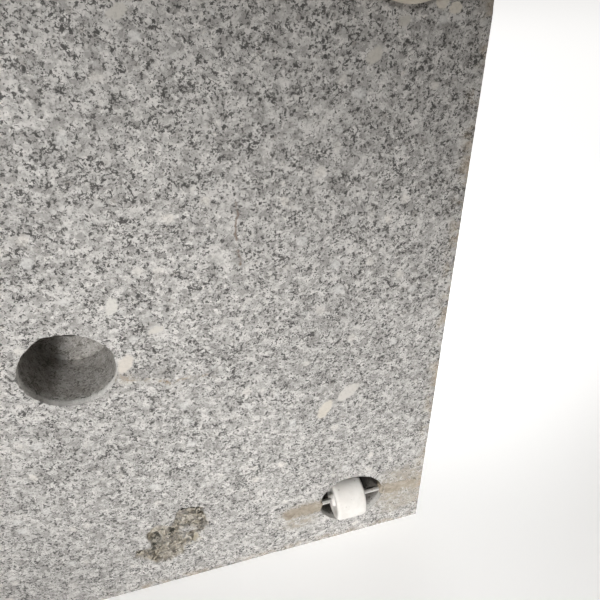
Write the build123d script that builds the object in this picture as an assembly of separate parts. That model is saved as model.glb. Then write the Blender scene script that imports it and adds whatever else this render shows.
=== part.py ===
from build123d import *
import os

# Square granite slab, one of the usual weights for a parasol stand or similar
# base.  It stands upright on the edge that carries its two small rollers.
# +Z is up, the face with the rollers looks towards -Y, and X runs along the
# edge.  The origin is the centre of the whole object's footprint.

# ---- driving dimensions, millimetres ---------------------------------------
SIDE = 450.0            # slab width (X) and height (Z)
THICK = 70.0            # slab thickness (Y)
ARRIS = 0.6             # tiny chamfer on the sawn edges of the roller face
TOP_ARRIS = 1.5         # chamfer on the edges of the outer (polished) face

CORE_R = 25.0           # core-drilled pockets, 50 mm drill
POCKET_DEPTH = 40.0     # depth of the roller pockets and of the counterbore
ROLLER_X = 166.5        # pocket centres from the middle plane
ROLLER_Z = 45.6         # pocket centres above the standing edge

GROOVE_HALF = 54.5      # half length of the axle groove, over its round ends
GROOVE_W = 12.0         # groove width
GROOVE_D = 9.0          # groove depth below the roller face

AXLE_R = 2.0            # bright steel rod
AXLE_HALF = 50.0        # half length of the rod
AXLE_DEPTH = 3.0        # axle centre line below the roller face
RUN_CLEAR = 0.08        # radial running clearance, roller on axle

ROLLER_R = 16.0         # barrel radius in the middle of the tread
ROLLER_END_R = 15.7     # radius where the tread meets the rounded ends
ROLLER_W = 23.4         # roller width
ROLLER_SHIFT = 3.2      # roller sits this far towards the slab's middle
ROLLER_ROUND = 3.0      # rounding of the tread's ends
HUB_R = 4.5             # low hub boss round the bore on each end face
HUB_D = 1.0
DISH_IN = 5.6           # shallow ring-shaped dish between hub and rim
DISH_OUT = 8.6
DISH_D = 1.0

BOLT_R = 7.0            # through bore for the pole's clamping bolt
PAD_R = 25.0            # glide pads near the other edge
PAD_X = 180.0
PAD_Z = 419.0
PAD_ROUND = 1.2

STAND_OFF = ROLLER_R - AXLE_DEPTH          # rollers stand this proud
FACE_Y = -(THICK + STAND_OFF) / 2 + STAND_OFF
BACK_Y = FACE_Y + THICK
AXLE_Y = FACE_Y + AXLE_DEPTH
GROOVE_CLEAR_R = CORE_R                    # beds start at the pocket's wall

os.makedirs("parts", exist_ok=True)


def along_y(radius, length, x, y0, z):
    """Cylinder along +Y that starts at y0."""
    pl = Plane(origin=(x, y0, z), x_dir=(1, 0, 0), z_dir=(0, 1, 0))
    return pl * Cylinder(radius, length, align=(Align.CENTER, Align.CENTER, Align.MIN))


def along_x(radius, length, x, y, z):
    """Cylinder along X centred on x."""
    pl = Plane(origin=(x, y, z), x_dir=(0, 1, 0), z_dir=(1, 0, 0))
    return pl * Cylinder(radius, length)


def block(x0, x1, y0, y1, z0, z1):
    return Pos((x0 + x1) / 2, (y0 + y1) / 2, (z0 + z1) / 2) * Box(x1 - x0, y1 - y0, z1 - z0)


def groove(cx, y0, y1):
    """The sawn axle groove: straight sides and round ends."""
    flat = GROOVE_HALF - GROOVE_W / 2
    g = block(cx - flat, cx + flat, y0, y1, ROLLER_Z - GROOVE_W / 2, ROLLER_Z + GROOVE_W / 2)
    for e in (1, -1):
        g += along_y(GROOVE_W / 2, y1 - y0, cx + e * flat, y0, ROLLER_Z)
    return g


def save(shape, name):
    shape.label = name
    export_step(shape, "parts/" + name + ".step")


# ---- the stone --------------------------------------------------------------
slab = block(-SIDE / 2, SIDE / 2, FACE_Y, BACK_Y, 0, SIDE)
face_edges = [e for e in slab.edges() if abs(e.center().Y - FACE_Y) < 1e-6]
slab = chamfer(face_edges, ARRIS)
back_edges = [e for e in slab.edges()
              if abs(e.center().Y - BACK_Y) < 1e-6]
slab = chamfer(back_edges, TOP_ARRIS)

for side in (1, -1):
    slab -= along_y(CORE_R, POCKET_DEPTH, side * ROLLER_X, FACE_Y, ROLLER_Z)
    slab -= groove(side * ROLLER_X, FACE_Y - 1, FACE_Y + GROOVE_D)
# counterbore and bolt bore in the middle
slab -= along_y(CORE_R, POCKET_DEPTH, 0, FACE_Y, SIDE / 2)
slab -= along_y(BOLT_R, THICK, 0, FACE_Y, SIDE / 2)
save(slab, "granite_slab")

# ---- the two roller sets ----------------------------------------------------
for side, word in ((1, "right"), (-1, "left")):
    cx = side * ROLLER_X
    axle = along_x(AXLE_R, 2 * AXLE_HALF, cx, AXLE_Y, ROLLER_Z)
    axle = chamfer(axle.edges(), 0.4)
    save(axle, "axle_" + word)

    # mortar beds that hold the two ends of the axle in its groove
    for direction, place in ((side, "outer"), (-side, "inner")):
        x_far = cx + direction * GROOVE_HALF
        bed = groove(cx, FACE_Y, FACE_Y + GROOVE_D)
        bed &= block(min(cx, x_far), max(cx, x_far), FACE_Y - 1, FACE_Y + GROOVE_D + 1, 0, SIDE / 4)
        bed -= along_y(GROOVE_CLEAR_R, THICK, cx, FACE_Y - 5, ROLLER_Z)
        bed -= along_x(AXLE_R, 2 * AXLE_HALF, cx, AXLE_Y, ROLLER_Z)
        save(bed, "mortar_" + word + "_" + place)

    # roller: a slightly barrelled tyre with rounded ends and a plain bore
    rx = cx - side * ROLLER_SHIFT
    hw = ROLLER_W / 2
    with BuildSketch(Plane.XY) as prof:
        with BuildLine():
            l1 = Line((-hw, 0), (-hw, ROLLER_END_R))
            l2 = ThreePointArc((-hw, ROLLER_END_R), (0, ROLLER_R), (hw, ROLLER_END_R))
            l3 = Line((hw, ROLLER_END_R), (hw, 0))
            l4 = Line((hw, 0), (-hw, 0))
        make_face()
        fillet(prof.vertices().filter_by(lambda v: v.Y > ROLLER_END_R - 0.5), ROLLER_ROUND)
    roller = revolve(prof.sketch, Axis.X, 360)
    roller = Pos(rx, AXLE_Y, ROLLER_Z) * roller
    for e in (1, -1):
        dish = (along_x(DISH_OUT, 2 * DISH_D, rx + e * hw, AXLE_Y, ROLLER_Z)
                - along_x(DISH_IN, 2 * DISH_D + 1, rx + e * hw, AXLE_Y, ROLLER_Z))
        roller -= dish
        roller += along_x(HUB_R, 2 * HUB_D, rx + e * hw, AXLE_Y, ROLLER_Z)
    roller -= along_x(AXLE_R + RUN_CLEAR, ROLLER_W + 4, rx, AXLE_Y, ROLLER_Z)
    save(roller, "roller_" + word)

    # glide pad glued to the face near the opposite edge
    pad = along_y(PAD_R, STAND_OFF, side * PAD_X, FACE_Y - STAND_OFF, PAD_Z)
    outer_rim = [e for e in pad.edges() if abs(e.center().Y - (FACE_Y - STAND_OFF)) < 1e-6]
    pad = fillet(outer_rim, PAD_ROUND)
    save(pad, "glide_pad_" + word)
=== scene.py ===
import math

import bpy
import numpy as np
from mathutils import Matrix, Vector


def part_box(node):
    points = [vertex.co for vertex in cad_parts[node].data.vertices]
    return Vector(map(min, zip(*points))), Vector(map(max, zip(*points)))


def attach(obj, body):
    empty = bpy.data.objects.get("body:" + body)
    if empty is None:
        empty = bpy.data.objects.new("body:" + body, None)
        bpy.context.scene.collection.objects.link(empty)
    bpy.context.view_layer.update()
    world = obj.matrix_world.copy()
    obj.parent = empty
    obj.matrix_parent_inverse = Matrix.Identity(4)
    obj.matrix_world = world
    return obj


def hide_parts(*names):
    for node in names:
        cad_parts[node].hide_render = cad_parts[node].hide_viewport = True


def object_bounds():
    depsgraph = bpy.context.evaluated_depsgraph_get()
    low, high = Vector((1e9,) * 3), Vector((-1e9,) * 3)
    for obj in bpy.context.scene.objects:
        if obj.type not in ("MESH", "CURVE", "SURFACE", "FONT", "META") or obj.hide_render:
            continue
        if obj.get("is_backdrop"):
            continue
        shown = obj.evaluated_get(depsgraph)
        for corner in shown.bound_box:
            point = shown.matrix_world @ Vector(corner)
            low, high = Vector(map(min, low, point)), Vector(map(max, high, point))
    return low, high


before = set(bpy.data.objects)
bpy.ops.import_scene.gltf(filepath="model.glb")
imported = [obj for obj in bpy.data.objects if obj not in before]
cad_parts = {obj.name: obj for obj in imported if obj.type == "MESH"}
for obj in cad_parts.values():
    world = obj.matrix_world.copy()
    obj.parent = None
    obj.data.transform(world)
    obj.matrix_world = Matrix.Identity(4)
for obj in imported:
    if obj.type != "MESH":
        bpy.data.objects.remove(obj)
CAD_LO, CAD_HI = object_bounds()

MM = 0.001
scene = bpy.context.scene
scene.view_settings.view_transform = "Standard"
KEY_W, KEY_SPREAD, KEY_ROLL = 1.61, 16.6, -26.0
WORLD, GLOW_NEAR, GLOW_FAR, GLOW_BEHIND = 0.255, 0.11, 0.04, 0.62

# ---------------------------------------------------------------- the frame
S0, S1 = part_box("granite_slab")
FACE, BACK = S0.y, S1.y              # roller face and outer face
HALF, SIDE = S1.x, S1.z
SIDES = ((1, "right"), (-1, "left"))
CORE_R = 25.0 * MM
POCKET_DEPTH = 40.0 * MM
BOLT_R = 7.0 * MM


def centre(node):
    lo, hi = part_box(node)
    return (lo + hi) / 2


# ------------------------------------------------------------ noise, meshes
def _hash(ix, iy, iz, seed):
    h = (ix * 374761393 + iy * 668265263 + iz * 1440662683 + seed * 1274126177) & 0xFFFFFFFF
    h = ((h ^ (h >> 13)) * 1274126177) & 0xFFFFFFFF
    h = ((h ^ (h >> 16)) * 668265263) & 0xFFFFFFFF
    return ((h ^ (h >> 15)) & 0xFFFFFF) / float(0xFFFFFF)


def vnoise(p, size, seed=0):
    """Smooth lattice noise, -1 to 1, for points in metres and a cell in metres."""
    q = np.asarray(p, float).reshape(-1, 3) / size + 4096.0
    i = np.floor(q).astype(np.int64)
    f = q - i
    f = f * f * (3 - 2 * f)
    out = np.zeros(len(q))
    for a in (0, 1):
        for b in (0, 1):
            for c in (0, 1):
                w = ((f[:, 0] if a else 1 - f[:, 0]) * (f[:, 1] if b else 1 - f[:, 1])
                     * (f[:, 2] if c else 1 - f[:, 2]))
                out += w * _hash(i[:, 0] + a, i[:, 1] + b, i[:, 2] + c, seed)
    return out * 2 - 1


def fbm(p, size, seed=0, octaves=3):
    out, amp, tot = 0, 1.0, 0
    for k in range(octaves):
        out = out + amp * vnoise(p, size / 2 ** k, seed + 17 * k)
        tot += amp
        amp *= 0.5
    return out / tot


def make(name, verts, faces, smooth=True):
    me = bpy.data.meshes.new(name)
    me.from_pydata([tuple(v) for v in verts], [], [tuple(int(i) for i in f) for f in faces])
    me.validate()
    me.update()
    ob = bpy.data.objects.new(name, me)
    scene.collection.objects.link(ob)
    me.polygons.foreach_set("use_smooth", [smooth] * len(me.polygons))
    return ob


def outward(ob):
    """Faces turned outward."""
    import bmesh
    bm = bmesh.new()
    bm.from_mesh(ob.data)
    bmesh.ops.recalc_face_normals(bm, faces=bm.faces)
    bm.to_mesh(ob.data)
    bm.free()


def apply_all(ob):
    """The object's modifiers, applied to its mesh."""
    dg = bpy.context.evaluated_depsgraph_get()
    me = bpy.data.meshes.new_from_object(ob.evaluated_get(dg))
    ob.modifiers.clear()
    old, ob.data = ob.data, me
    bpy.data.meshes.remove(old)


def boolean(ob, other, op):
    m = ob.modifiers.new("b", "BOOLEAN")
    m.operation, m.solver, m.object = op, "EXACT", other
    apply_all(ob)
    bpy.data.objects.remove(other)


def sharp_by_angle(ob, deg):
    """Edges sharper than this stay crisp under smooth shading."""
    me = ob.data
    import bmesh
    bm = bmesh.new()
    bm.from_mesh(me)
    lim = math.radians(deg)
    for e in bm.edges:
        if len(e.link_faces) == 2:
            e.smooth = e.calc_face_angle(0) < lim
    for f in bm.faces:
        f.smooth = True
    bm.to_mesh(me)
    bm.free()


# ------------------------------------------------------------ the stone
# The scar where a flake has spalled off the roller face, as x, z in mm.
SCAR = [(0.6, 42.8), (4.4, 49.9), (14.8, 49.3), (13.6, 65.7), (22.6, 72.7), (31.6, 68.8),
        (36.1, 77.8), (40.4, 85.3), (49.6, 84.0), (55.6, 80.2), (57.8, 59.9), (52.5, 53.7),
        (47.1, 44.5), (37.7, 42.9), (35.3, 31.9), (28.0, 27.8), (15.6, 29.3)]


# Deeper bites in it: x, z, half length, half width, angle, extra depth.
PITS = [(44.6, 81.6, 5.0, 1.5, -15, 3.4), (34.0, 69.4, 3.4, 2.6, 30, 2.8), (18.6, 56.5, 4.4, 3.0, 60, 2.2),
        (16.2, 48.2, 4.6, 3.6, 70, 2.0), (52.6, 74.5, 2.6, 5.4, 10, 1.4), (5.0, 44.5, 3.6, 1.6, 30, 1.2),
        (30.0, 60.0, 2.6, 4.2, -30, 1.2), (36.0, 33.5, 3.4, 2.0, 0, 1.0)]


def poly_distance(px, pz, poly):
    """Signed distance to a closed outline, positive inside."""
    n = len(poly)
    best = np.full(len(px), 1e9)
    inside = np.zeros(len(px), bool)
    for i in range(n):
        (ax, az), (bx, bz) = poly[i], poly[(i + 1) % n]
        dx, dz = bx - ax, bz - az
        t = np.clip(((px - ax) * dx + (pz - az) * dz) / (dx * dx + dz * dz), 0, 1)
        best = np.minimum(best, np.hypot(px - ax - t * dx, pz - az - t * dz))
        cross = ((az > pz) != (bz > pz))
        with np.errstate(divide="ignore", invalid="ignore"):
            xi = (bx - ax) * (pz - az) / (bz - az) + ax
        inside ^= cross & (px < xi)
    return np.where(inside, best, -best)


def lines(lo, hi, step, zones=()):
    """Grid lines from lo to hi, closer together at the ends and in the given zones (mm)."""
    out = [lo, lo + 0.3, lo + 0.7, lo + 1.3, lo + 2.2, hi - 2.2, hi - 1.3, hi - 0.7, hi - 0.3, hi]
    inner = np.linspace(lo + 2.2, hi - 2.2, int(round((hi - lo - 4.4) / step)) + 1)[1:-1]
    for a, b, s in zones:
        inner = [v for v in inner if v < a - step * 0.4 or v > b + step * 0.4]
        inner += list(np.linspace(a, b, int(round((b - a) / s)) + 1))
    return np.array(sorted(out + list(inner)))


def stone():
    lo = np.array(S0) / MM
    hi = np.array(S1) / MM
    gx = lines(lo[0], hi[0], 2.6, [(-3.0, 62.0, 0.7)])
    gy = lines(lo[1], hi[1], 3.2)
    gz = lines(lo[2], hi[2], 2.6, [(22.0, 90.0, 0.7)])
    verts, faces, base = [], [], 0

    def grid(a, b, fixed_axis, value, axes):
        nonlocal base
        A, Bv = np.meshgrid(a, b, indexing="ij")
        p = np.zeros((A.size, 3))
        p[:, axes[0]], p[:, axes[1]], p[:, fixed_axis] = A.ravel(), Bv.ravel(), value
        i = np.arange(A.size).reshape(A.shape)
        q = np.stack([i[:-1, :-1], i[1:, :-1], i[1:, 1:], i[:-1, 1:]], -1).reshape(-1, 4) + base
        verts.append(p)
        faces.append(q)
        base += len(p)

    for v in (lo[1], hi[1]):
        grid(gx, gz, 1, v, (0, 2))
    for v in (lo[0], hi[0]):
        grid(gy, gz, 0, v, (1, 2))
    for v in (lo[2], hi[2]):
        grid(gx, gy, 2, v, (0, 1))
    P = np.concatenate(verts)
    Q = np.concatenate(faces)
    key = np.round(P * 1000).astype(np.int64)
    _, first, inv = np.unique(key, axis=0, return_index=True, return_inverse=True)
    P, Q = P[first], inv.reshape(-1)[Q]

    # worn arrises, with a few larger chips
    near = lambda p, s: vnoise(p * MM, s * MM, 5)
    r = 0.45 + 0.35 * np.clip(near(P, 6.0), 0, 1) + 0.25 * np.clip(near(P, 2.5), 0, 1)
    big = vnoise(P * MM, 17 * MM, 31)
    r = r + 2.6 * np.clip(big - 0.62, 0, 1) / 0.38 * (0.6 + 0.4 * vnoise(P * MM, 2.2 * MM, 8))
    back = P[:, 1] > (lo[1] + hi[1]) / 2
    r = np.where(back, np.maximum(r, 1.3), r)
    inner_lo, inner_hi = lo[None] + r[:, None], hi[None] - r[:, None]
    q = np.clip(P, inner_lo, inner_hi)
    d = P - q
    n = np.linalg.norm(d, axis=1, keepdims=True)
    P2 = q + np.where(n > 1e-9, d / np.maximum(n, 1e-9) * r[:, None], 0)
    # chips are rough
    rough = np.clip((r - 1.0) / 1.5, 0, 1) * (np.linalg.norm(P2 - P, axis=1) > 0.08)
    rough = np.where(back & (r < 1.4), 0, rough)
    edge_wear = np.linalg.norm(P2 - P, axis=1)
    P2 += (q - P2) * (0.25 * rough * (0.5 + 0.5 * vnoise(P * MM, 1.2 * MM, 12)))[:, None]

    # the spalled scar in the roller face
    on_face = np.abs(P[:, 1] - lo[1]) < 1e-6
    wx = P[:, 0] + 1.3 * vnoise(P * MM, 5 * MM, 41) + 0.8 * vnoise(P * MM, 2.2 * MM, 42)
    wz = P[:, 2] + 1.3 * vnoise(P * MM, 5 * MM, 43) + 0.8 * vnoise(P * MM, 2.2 * MM, 44)
    sd = poly_distance(wx, wz, SCAR)
    inside = on_face & (sd > 0)
    rise = np.clip(sd / 1.2, 0, 1) ** 0.5
    depth = (2.3 + 1.1 * vnoise(P * MM, 12 * MM, 51) + 1.2 * vnoise(P * MM, 3.6 * MM, 52)
             + 0.8 * vnoise(P * MM, 1.9 * MM, 53))
    # deeper bites under the upper and left edges, and one crystal left standing
    # shade marks the deeper pits; it becomes the painted shade in the scar's colour
    shade = np.zeros(len(P))
    for px, pz, rx, rz, ang, add in PITS:
        ca, sa = math.cos(math.radians(ang)), math.sin(math.radians(ang))
        u, w = (wx - px) * ca + (wz - pz) * sa, (wz - pz) * ca - (wx - px) * sa
        k = np.clip(1.15 - np.hypot(u / rx, w / rz), 0, 1)
        depth = depth + 0.6 * add * k * (1 + 0.7 * vnoise(P * MM, 2.4 * MM, 57))
        shade = np.maximum(shade, np.clip(k * 2.2, 0, 1) * (1 if add > 0 else 0))
    island = np.clip(1.5 - np.hypot((wx - 42.6) / 5.6, (wz - 57.6) / 3.6), 0, 1)
    depth = depth * (1 - 0.8 * island)
    depth = np.where(inside, np.clip(rise * depth, 0.25, 6.5), 0)
    P2[:, 1] += depth
    scar = np.where(on_face, np.clip((sd + 0.5) / 1.2, 0, 1) * (1 - 0.9 * island), 0)
    pit_shade = np.where(on_face & (sd > 0), shade * rise, 0)

    ob = make("stone", P2 * MM, Q)
    outward(ob)
    for name, val in (("scar", scar), ("pit_shade", pit_shade), ("wear", np.clip(edge_wear / 0.5, 0, 1))):
        a = ob.data.attributes.new(name, "FLOAT", "POINT")
        a.data.foreach_set("value", val.astype(np.float32))
    return ob


def drill(cx, cz, r, depth, seed, core=True, chip_angles=()):
    """Cutter for a core-drilled pocket: rough wall, chipped mouth, broken core at the bottom."""
    n = 168
    th = np.arange(n) / n * 2 * math.pi
    ring_pts = lambda rr, y: np.stack([cx + rr * np.cos(th), np.full(n, y), cz + rr * np.sin(th)], 1)
    depths = [-3.0, -0.4, 0.0, 0.25, 0.6, 1.1, 1.8, 2.8, 5, 8, 11, 15, 20, 25, 30, 35, depth / MM - 0.4, depth / MM]
    verts = []
    for d in depths:
        rr = np.full(n, r)
        base = np.stack([np.cos(th) * 20, np.full(n, seed * 7.3), np.sin(th) * 20], 1) * MM
        wall = 0.10 * vnoise(base + [0, d * MM * 1.0, 0], 2.4 * MM, seed) * MM
        chips = np.zeros(n)
        for a0, width, size, deep in chip_angles:
            da = np.angle(np.exp(1j * (th - math.radians(a0)))) / math.radians(width)
            w = np.clip(1 - da * da, 0, 1)
            w = w * (0.75 + 0.45 * vnoise(base, 2.0 * MM, seed + 3))
            chips = np.maximum(chips, size * np.clip(w, 0, 1.2) * math.exp(-max(d, 0) / deep))
        small = 0.55 * np.clip(vnoise(base, 1.6 * MM, seed + 5) - 0.1, 0, 1) + 0.5 * np.clip(vnoise(base, 5 * MM, seed + 6) - 0.2, 0, 1)
        chips = np.maximum(chips, small * math.exp(-max(d, 0) / 0.7))
        rr = rr + wall + chips * MM
        verts.append(ring_pts(rr, FACE + d * MM))
    last = len(depths) - 1
    faces = []
    for k in range(last):
        for i in range(n):
            j = (i + 1) % n
            faces.append((k * n + i, k * n + j, (k + 1) * n + j, (k + 1) * n + i))
    # bottom: a kerf round the foot of the broken core
    rings = [1 - 2.2 * MM / r, 1 - 2.9 * MM / r, 0.78, 0.66, 0.54, 0.42, 0.30, 0.18, 0.08]
    count = len(depths)
    for t in rings:
        p = ring_pts(np.full(n, r * t), FACE + depth)
        if core and t < 0.9:
            p[:, 1] -= (2.2 + 1.3 * vnoise(p, 7 * MM, seed + 9) + 0.8 * vnoise(p, 2.5 * MM, seed + 10)) * MM
        verts.append(p)
        for i in range(n):
            j = (i + 1) % n
            k = count - 1
            faces.append((k * n + i, k * n + j, (k + 1) * n + j, (k + 1) * n + i))
        count += 1
    V = np.concatenate(verts)
    top, bot = len(V), len(V) + 1
    mid = V[(count - 1) * n:count * n].mean(0)
    V = np.concatenate([V, [[cx, FACE - 3 * MM, cz], mid]])
    for i in range(n):
        j = (i + 1) % n
        faces.append((top, j, i))
        faces.append((bot, (count - 1) * n + i, (count - 1) * n + j))
    ob = make("drill", V, faces)
    outward(ob)
    return ob


def slot_cutter(x0, x1, z0, z1, depth, seed):
    """Cutter for the axle groove: straight sides, round ends, slightly broken lips."""
    hz, cz = (z1 - z0) / 2, (z0 + z1) / 2
    arc_n, flat_n = 18, 84
    pts, nrm = [], []
    for k in range(flat_n):
        pts.append((x0 + hz + (x1 - x0 - 2 * hz) * k / flat_n, z0)); nrm.append((0, -1))
    for k in range(arc_n):
        a = -math.pi / 2 + math.pi * k / arc_n
        pts.append((x1 - hz + hz * math.cos(a), cz + hz * math.sin(a))); nrm.append((math.cos(a), math.sin(a)))
    for k in range(flat_n):
        pts.append((x1 - hz - (x1 - x0 - 2 * hz) * k / flat_n, z1)); nrm.append((0, 1))
    for k in range(arc_n):
        a = math.pi / 2 + math.pi * k / arc_n
        pts.append((x0 + hz + hz * math.cos(a), cz + hz * math.sin(a))); nrm.append((math.cos(a), math.sin(a)))
    pts, nrm = np.array(pts), np.array(nrm)
    n = len(pts)
    V, F = [], []
    depths = [-2.0, -0.3, 0.0, 0.5, 1.2, 3.0, 6.0, depth / MM]
    for d in depths:
        base = np.stack([pts[:, 0], np.full(n, d * MM), pts[:, 1]], 1)
        flare = math.exp(-min(max(d, 0), 9) / 0.8)
        off = (0.12 * vnoise(base, 3 * MM, seed) + 0.7 * flare * np.clip(vnoise(base, 3 * MM, seed + 1), 0, 1)) * MM
        q = pts + nrm * off[:, None]
        V.append(np.stack([q[:, 0], np.full(n, FACE + d * MM), q[:, 1]], 1))
    for k in range(len(depths) - 1):
        for i in range(n):
            j = (i + 1) % n
            F.append((k * n + i, k * n + j, (k + 1) * n + j, (k + 1) * n + i))
    F += [tuple(range(n))[::-1], tuple(range((len(depths) - 1) * n, len(depths) * n))]
    ob = make("slot", np.concatenate(V), F)
    outward(ob)
    return ob


slab = stone()
cutters = []
for side, word in SIDES:
    inner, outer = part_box(f"mortar_{word}_inner"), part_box(f"mortar_{word}_outer")
    x0 = min(inner[0].x, outer[0].x)
    x1 = max(inner[1].x, outer[1].x)
    z0, z1 = inner[0].z, inner[1].z
    cx, cz = (x0 + x1) / 2, (z0 + z1) / 2
    chips = ([(118, 30, 1.7, 1.6), (150, 16, 1.2, 1.2), (92, 14, 0.9, 1.0), (-52, 12, 0.8, 1.0), (200, 9, 1.0, 0.9)]
             if side > 0 else [(60, 22, 1.5, 1.4), (170, 15, 1.3, 1.2), (-95, 18, 1.1, 1.0), (10, 9, 0.9, 0.9)])
    c = drill(cx, cz, CORE_R, POCKET_DEPTH, 61 if side > 0 else 67, True, chips)
    boolean(c, slot_cutter(x0, x1, z0, z1, inner[1].y - FACE, 71 if side > 0 else 75), "UNION")
    cutters.append(c)
c = drill(0.0, SIDE / 2, CORE_R, POCKET_DEPTH, 83, False,
          [(20, 14, 1.5, 1.4), (-24, 20, 2.3, 1.8), (-62, 16, 1.1, 1.2), (105, 20, 1.4, 1.2), (190, 26, 1.6, 1.5)])
n = 96
th = np.arange(n) / n * 2 * math.pi
ys = np.concatenate([[FACE + POCKET_DEPTH - 3 * MM], np.linspace(FACE + POCKET_DEPTH, BACK - 1.2 * MM, 9),
                     [BACK - 0.6 * MM, BACK, BACK + 2 * MM]])
V = []
for y in ys:
    rr = BOLT_R + 0.9 * MM * np.clip((y - (BACK - 1.0 * MM)) / (1.0 * MM), 0, 1)
    rr = rr + 0.05 * MM * vnoise(np.stack([np.cos(th) * 6, th * 0 + y / MM, np.sin(th) * 6], 1) * MM, 2 * MM, 3)
    V.append(np.stack([rr * np.cos(th), np.full(n, y), SIDE / 2 + rr * np.sin(th)], 1))
V = np.concatenate(V)
F = [(k * n + i, k * n + (i + 1) % n, (k + 1) * n + (i + 1) % n, (k + 1) * n + i)
     for k in range(len(ys) - 1) for i in range(n)]
F += [tuple(range(n))[::-1], tuple(range((len(ys) - 1) * n, len(ys) * n))]
b = make("bolt_bore", V, F)
outward(b)
boolean(c, b, "UNION")
cutters.append(c)
bpy.ops.object.select_all(action="DESELECT")
for o in cutters:
    o.select_set(True)
bpy.context.view_layer.objects.active = cutters[0]
bpy.ops.object.join()
boolean(slab, cutters[0], "DIFFERENCE")
slab.name = slab.data.name = "granite_stone"
sharp_by_angle(slab, 40)


# ------------------------------------------------------------ small pieces
def lathe(name, profile, at, n=160, close=True, lumps=None):
    """A profile of (x, r) turned about the X line through at."""
    prof = np.array(profile, float)
    m = len(prof)
    th = np.arange(n) / n * 2 * math.pi
    V = np.zeros((m * n, 3))
    for k, (x, r) in enumerate(prof):
        V[k * n:(k + 1) * n] = np.stack([np.full(n, x), r * np.cos(th), r * np.sin(th)], 1)
    if lumps is not None:
        V = lumps(V)
    V = V + np.array(at)
    F = []
    for k in range(m if close else m - 1):
        k2 = (k + 1) % m
        for i in range(n):
            j = (i + 1) % n
            F.append((k * n + i, k * n + j, k2 * n + j, k2 * n + i))
    if not close:
        F.append(tuple(range(n))[::-1])
        F.append(tuple(range((m - 1) * n, m * n)))
    ob = make(name, V, F)
    outward(ob)
    return ob


def arc(cx, cr, rad, a0, a1, steps):
    return [(cx + rad * math.cos(math.radians(a)), cr + rad * math.sin(math.radians(a)))
            for a in np.linspace(a0, a1, steps)]


rollers, axles, mortar, pads = [], [], [], []
for side, word in SIDES:
    lo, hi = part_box("roller_" + word)
    at = (lo + hi) / 2
    R = (hi.z - lo.z) / 2
    hw = (hi.x - lo.x) / 2               # over the hub bosses
    boss = 1.0 * MM
    body = hw - boss                     # over the tread's ends
    al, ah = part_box("axle_" + word)
    bore = (ah.z - al.z) / 2 + 0.08 * MM
    rr = 3.0 * MM
    RE = R - 0.3 * MM
    half = [(0.0, R), (body * 0.2, R - 0.012 * MM), (body * 0.4, R - 0.05 * MM), (body * 0.6, R - 0.14 * MM)]
    half += arc(body - rr, RE - rr, rr, 84, 0, 12)
    half += [(body - 0.05 * MM, RE - rr - 1.4 * MM), (body - 0.25 * MM, RE - rr - 1.9 * MM),
             (body - 0.9 * MM, RE - rr - 2.6 * MM), (body - 1.15 * MM, RE - rr - 3.2 * MM),
             (body - 1.2 * MM, RE - rr - 4.2 * MM), (body - 1.2 * MM, 5.4 * MM),
             (body - 1.0 * MM, 4.9 * MM), (body - 0.3 * MM, 4.6 * MM), (hw - 0.35 * MM, 4.5 * MM),
             (hw - 0.1 * MM, 4.4 * MM), (hw, 4.15 * MM), (hw, bore + 0.5 * MM), (hw - 0.1 * MM, bore + 0.22 * MM),
             (hw - 0.4 * MM, bore)]
    prof = half + [(-x, r) for x, r in half[::-1]][:-1]
    prof = [(x, r) for x, r in prof]
    # the loop closes through the bore
    order = half + [(-x, r) for x, r in half[:0:-1]]

    def worn(V, seed=int(101 + side)):
        r = np.hypot(V[:, 1], V[:, 2])
        outer = np.clip((r - 11 * MM) / (2 * MM), 0, 1)
        k = 1 - outer * (0.0035 * np.clip(fbm(V, 7 * MM, seed), 0, 1) + 0.0022 * np.clip(vnoise(V, 1.4 * MM, seed + 2) - 0.35, 0, 1))
        V = V.copy()
        V[:, 1] *= k
        V[:, 2] *= k
        return V

    o = lathe("roller_tread_" + word, order, at, 176, True, worn)
    rollers.append(o)
    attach(o, ("right" if side > 0 else "left") + "_roller")
    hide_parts("roller_" + word)

    # axle rod: drawn steel, cropped ends, faint flats where it was gripped
    lo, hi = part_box("axle_" + word)
    at = (lo + hi) / 2
    ar, al = (hi.z - lo.z) / 2, (hi.x - lo.x) / 2
    xs = np.linspace(-al + 0.5 * MM, al - 0.5 * MM, 60)
    prof = [(-al, 0.6 * ar), (-al + 0.05 * MM, 0.8 * ar), (-al + 0.3 * MM, 0.96 * ar)]
    prof += [(x, ar * (1 - 0.006 * (0.5 + 0.5 * math.sin(x / MM * 1.9)))) for x in xs]
    prof += [(al - 0.3 * MM, 0.96 * ar), (al - 0.05 * MM, 0.8 * ar), (al, 0.6 * ar)]
    o = lathe("axle_rod_" + word, prof, at, 64, False)
    axles.append(o)
    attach(o, "slab")
    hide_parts("axle_" + word)


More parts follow.
